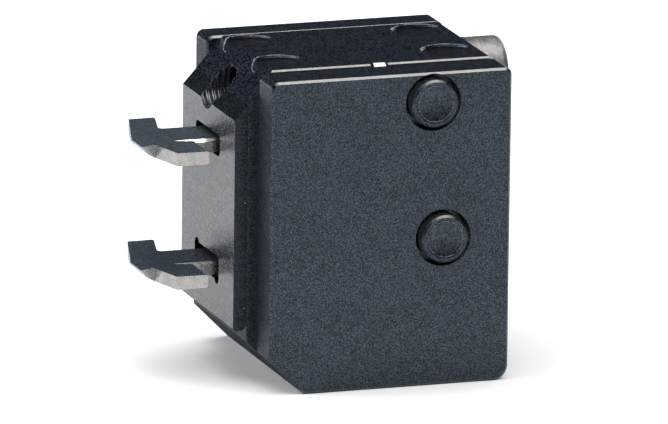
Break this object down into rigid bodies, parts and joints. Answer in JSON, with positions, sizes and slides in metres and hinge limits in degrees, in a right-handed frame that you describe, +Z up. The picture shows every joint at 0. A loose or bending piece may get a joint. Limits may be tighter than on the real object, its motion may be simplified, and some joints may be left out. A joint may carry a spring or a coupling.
{
  "type": "miniature clip-on extensometer",
  "caption": "Miniature clip-on strain gauge extensometer: black block between cover plates, fixed upper and swinging lower knife blade, cable gland.",
  "frame": {"origin": "centre of the bounding box's base: the flat bottom of the block, midway between knife edges and gland end, and midway between the covers", "axes": "+Z up along the gauge length, -X towards the knife edges, +X towards the cable gland, -Y out of the front cover"},
  "size_m": [0.0154, 0.0104, 0.0127],
  "materials": {
    "anodised_plate": "black anodised, bead blasted, semi-gloss",
    "anodised_block": "black anodised, satin",
    "black_steel": "blackened",
    "blade_steel": "hardened, ground",
    "bright_steel": "ground bright",
    "arm_alloy": "machined",
    "clamp_steel": "ground",
    "small_screw_steel": "plain",
    "spring_steel": "polished strip",
    "gauge_film": "polyimide film",
    "circuit_board": "glass-fibre board",
    "solder": "solder",
    "gland_metal": "satin, natural",
    "seal_rubber": "matt"
  },
  "bodies": {
    "housing": {"front_cover": "anodised_plate", "back_cover": "anodised_plate", "housing_frame": "anodised_block", "nose_plate": "anodised_block", "nose_dowels": "bright_steel", "front_cover_screws": "black_steel", "back_cover_screws": "black_steel", "front_plugs": "anodised_plate", "back_plugs": "anodised_plate", "top_screws": "black_steel", "top_plugs": "black_steel", "locating_key": "bright_steel", "upper_arm": "arm_alloy", "upper_knife_blade": "blade_steel", "upper_blade_clamp": "clamp_steel", "upper_blade_screws": "small_screw_steel", "side_flexures": "spring_steel", "cross_flexure": "spring_steel", "fixed_side_clamps": "clamp_steel", "fixed_cross_clamp": "clamp_steel", "fixed_flexure_screws": "small_screw_steel", "bending_beam": "spring_steel", "beam_clamp": "clamp_steel", "beam_clamp_screws": "small_screw_steel", "strain_gauges": "gauge_film", "terminal_board": "circuit_board", "solder_lugs": "solder", "travel_stop_pin": "bright_steel", "cable_gland": "gland_metal", "gland_seal": "seal_rubber"},
    "swing_arm": {"lower_arm": "arm_alloy", "lower_knife_blade": "blade_steel", "lower_blade_clamp": "clamp_steel", "lower_blade_screws": "small_screw_steel", "moving_side_clamps": "clamp_steel", "moving_cross_clamp": "clamp_steel", "moving_flexure_screws": "small_screw_steel"}
  },
  "joints": [
    {"name": "arm_flexure", "type": "hinge", "parent": "housing", "child": "swing_arm", "pos_m": [0.00238, 0.00025, 0.0045], "axis": [0, 1, 0], "range_deg": [-1, 2], "stiffness_Nm_per_rad": 0.05, "deforming": ["side_flexures", "cross_flexure", "bending_beam"]}
  ]
}
